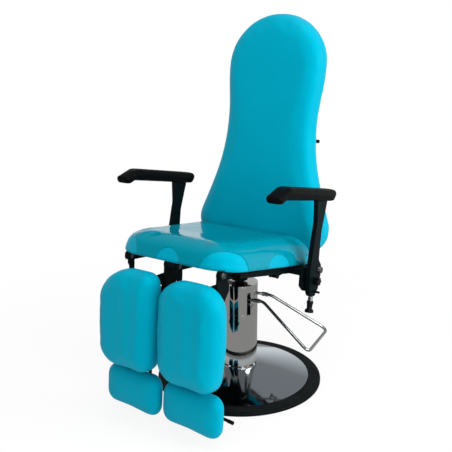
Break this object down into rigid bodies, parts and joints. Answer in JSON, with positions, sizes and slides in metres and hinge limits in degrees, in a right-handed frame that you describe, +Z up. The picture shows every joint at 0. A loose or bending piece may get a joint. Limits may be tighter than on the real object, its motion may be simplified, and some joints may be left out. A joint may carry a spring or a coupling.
{
  "type": "podiatry chair",
  "caption": "Podiatry chair with split leg rests, reclining waisted back, swing-up armrests and a foot-pumped hydraulic column on a round chromed base.",
  "frame": {"origin": "centre of the base, on the floor", "axes": "Z up, the chair faces -Y, +X is the left of a person seated in it"},
  "size_m": [0.66, 0.8132, 1.3304],
  "materials": {
    "teal_vinyl": "satin",
    "clear_cover": "gloss",
    "chrome": "polished",
    "steel": "satin",
    "black_steel": "satin",
    "black_panel": "matte",
    "black_plastic": "satin",
    "black_rubber": "matte",
    "bronze": "satin",
    "zinc": "satin",
    "zinc_and_grip": "satin"
  },
  "bodies": {
    "base": {"base_plate": "steel", "base_ring": "black_rubber", "base_dome": "chrome", "pump_flange": "chrome", "flange_screws": "zinc", "guide_tube": "chrome", "ram": "steel"},
    "pump": {"lower_sleeve": "chrome", "upper_sleeve": "chrome", "guide_bush": "bronze", "hydraulic_cylinder": "steel", "pump_head": "chrome", "spindle": "black_steel"},
    "pedal": {"pedal_bar": "chrome", "pedal_ferrules": "steel", "pedal_yoke": "steel"},
    "seat": {"swivel_hub": "black_steel", "side_rails": "black_steel", "cross_tubes": "black_steel", "rail_plugs": "black_plastic", "seat_board": "black_panel", "seat_cushion": "teal_vinyl", "seat_cover": "clear_cover", "leg_brackets": "black_steel", "leg_pivot_pins": "steel", "back_pivot_shaft": "steel", "spring_clevises": "black_steel", "arm_mounts": "black_steel", "arm_pivot_bolts": "steel"},
    "backrest": {"back_board": "black_panel", "back_cushion": "teal_vinyl", "back_uprights": "black_steel", "back_cross_bars": "black_steel", "back_hinge_plates": "black_steel"},
    "release_bar": {"release_bar": "black_steel"},
    "back_gas_cylinder": {"back_gas_cylinder": "black_steel"},
    "back_gas_rod": {"back_gas_rod": "chrome"},
    "left_armrest": {"left_armrest_pad": "black_plastic", "left_armrest_post": "black_steel"},
    "left_star_knob": {"left_star_knob": "black_plastic"},
    "left_plunger": {"left_lock_plunger": "zinc_and_grip"},
    "left_leg": {"left_leg_frame": "black_steel", "left_calf_pad": "teal_vinyl"},
    "left_foot": {"left_foot_carriage": "black_steel", "left_foot_pad": "teal_vinyl"},
    "left_foot_lever": {"left_foot_lever": "black_steel"},
    "left_leg_gas_cylinder": {"left_leg_gas_cylinder": "black_steel"},
    "left_leg_gas_rod": {"left_leg_gas_rod": "chrome"},
    "right_armrest": {"right_armrest_pad": "black_plastic", "right_armrest_post": "black_steel"},
    "right_star_knob": {"right_star_knob": "black_plastic"},
    "right_plunger": {"right_lock_plunger": "zinc_and_grip"},
    "right_leg": {"right_leg_frame": "black_steel", "right_calf_pad": "teal_vinyl"},
    "right_foot": {"right_foot_carriage": "black_steel", "right_foot_pad": "teal_vinyl"},
    "right_foot_lever": {"right_foot_lever": "black_steel"},
    "right_leg_gas_cylinder": {"right_leg_gas_cylinder": "black_steel"},
    "right_leg_gas_rod": {"right_leg_gas_rod": "chrome"}
  },
  "joints": [
    {"name": "pump_lift", "type": "slide", "parent": "base", "child": "pump", "axis": [0, 0, 1], "range_m": [0, 0.14]},
    {"name": "pedal_hinge", "type": "hinge", "parent": "pump", "child": "pedal", "pos_m": [0, 0, 0.3256], "axis": [-0.1599, 0.9871, 0], "range_deg": [0, 26], "stiffness_Nm_per_rad": 8, "springref_deg": -28.65},
    {"name": "seat_swivel", "type": "hinge", "parent": "pump", "child": "seat", "pos_m": [0, 0, 0.4], "axis": [0, 0, 1], "continuous": true},
    {"name": "backrest_recline", "type": "hinge", "parent": "seat", "child": "backrest", "pos_m": [0, 0.12274, 0.44089], "axis": [-1, 0, 0], "range_deg": [0, 65]},
    {"name": "release_bar_swing", "type": "hinge", "parent": "backrest", "child": "release_bar", "pos_m": [0, 0.28058, 0.91116], "axis": [1, 0, 0], "range_deg": [0, 20], "stiffness_Nm_per_rad": 1, "springref_deg": -28.65},
    {"name": "back_gas_cylinder_swing", "type": "hinge", "parent": "seat", "child": "back_gas_cylinder", "pos_m": [0.13, 0.02615, 0.415], "axis": [-1, 0, 0], "range_deg": [0, 32.5]},
    {"name": "back_gas_rod_swing", "type": "hinge", "parent": "backrest", "child": "back_gas_rod", "pos_m": [0.13, 0.21933, 0.415], "axis": [-1, 0, 0], "range_deg": [-32.5, 0]},
    {"name": "left_armrest_swing", "type": "hinge", "parent": "seat", "child": "left_armrest", "pos_m": [0.302, 0.02322, 0.4696], "axis": [-1, 0, 0], "range_deg": [0, 85]},
    {"name": "left_star_knob_turn", "type": "hinge", "parent": "left_armrest", "child": "left_star_knob", "pos_m": [0.302, -0.00766, 0.43849], "axis": [1, 0, 0], "continuous": true},
    {"name": "left_plunger_pull", "type": "slide", "parent": "left_armrest", "child": "left_plunger", "axis": [0, -0.1736, -0.9848], "range_m": [0, 0.01], "stiffness_N_per_m": 400, "springref_m": -0.01},
    {"name": "left_leg_raise", "type": "hinge", "parent": "seat", "child": "left_leg", "pos_m": [0.108, -0.38699, 0.53889], "axis": [-1, 0, 0], "range_deg": [0, 75]},
    {"name": "left_foot_slide", "type": "slide", "parent": "left_leg", "child": "left_foot", "axis": [0, -0.0872, -0.9962], "range_m": [0, 0.03]},
    {"name": "left_foot_lever_lift", "type": "hinge", "parent": "left_foot", "child": "left_foot_lever", "pos_m": [0.1595, -0.39901, 0.08019], "axis": [0, -0.9962, 0.0872], "range_deg": [0, 12], "stiffness_Nm_per_rad": 0.5, "springref_deg": -22.92},
    {"name": "left_leg_gas_cylinder_swing", "type": "hinge", "parent": "seat", "child": "left_leg_gas_cylinder", "pos_m": [0.108, -0.22299, 0.493], "axis": [-1, 0, 0], "range_deg": [0, 37.5]},
    {"name": "left_leg_gas_rod_swing", "type": "hinge", "parent": "left_leg", "child": "left_leg_gas_rod", "pos_m": [0.108, -0.39184, 0.36866], "axis": [-1, 0, 0], "range_deg": [-37.5, 0]},
    {"name": "right_armrest_swing", "type": "hinge", "parent": "seat", "child": "right_armrest", "pos_m": [-0.302, 0.02322, 0.4696], "axis": [-1, 0, 0], "range_deg": [0, 85]},
    {"name": "right_star_knob_turn", "type": "hinge", "parent": "right_armrest", "child": "right_star_knob", "pos_m": [-0.302, -0.00766, 0.43849], "axis": [1, 0, 0], "continuous": true},
    {"name": "right_plunger_pull", "type": "slide", "parent": "right_armrest", "child": "right_plunger", "axis": [0, -0.1736, -0.9848], "range_m": [0, 0.01], "stiffness_N_per_m": 400, "springref_m": -0.01},
    {"name": "right_leg_raise", "type": "hinge", "parent": "seat", "child": "right_leg", "pos_m": [-0.094, -0.38699, 0.53889], "axis": [-1, 0, 0], "range_deg": [0, 75]},
    {"name": "right_foot_slide", "type": "slide", "parent": "right_leg", "child": "right_foot", "axis": [0, -0.0872, -0.9962], "range_m": [0, 0.03]},
    {"name": "right_foot_lever_lift", "type": "hinge", "parent": "right_foot", "child": "right_foot_lever", "pos_m": [-0.1595, -0.39901, 0.08019], "axis": [0, 0.9962, -0.0872], "range_deg": [0, 12], "stiffness_Nm_per_rad": 0.5, "springref_deg": -22.92},
    {"name": "right_leg_gas_cylinder_swing", "type": "hinge", "parent": "seat", "child": "right_leg_gas_cylinder", "pos_m": [-0.094, -0.22299, 0.493], "axis": [-1, 0, 0], "range_deg": [0, 37.5]},
    {"name": "right_leg_gas_rod_swing", "type": "hinge", "parent": "right_leg", "child": "right_leg_gas_rod", "pos_m": [-0.094, -0.39184, 0.36866], "axis": [-1, 0, 0], "range_deg": [-37.5, 0]}
  ],
  "couplings": [
    {"joint": "back_gas_cylinder_swing", "follows": "backrest_recline", "ratio": 0.5},
    {"joint": "back_gas_rod_swing", "follows": "backrest_recline", "ratio": -0.5},
    {"joint": "left_leg_gas_cylinder_swing", "follows": "left_leg_raise", "ratio": 0.5},
    {"joint": "left_leg_gas_rod_swing", "follows": "left_leg_raise", "ratio": -0.5},
    {"joint": "right_leg_gas_cylinder_swing", "follows": "right_leg_raise", "ratio": 0.5},
    {"joint": "right_leg_gas_rod_swing", "follows": "right_leg_raise", "ratio": -0.5}
  ]
}
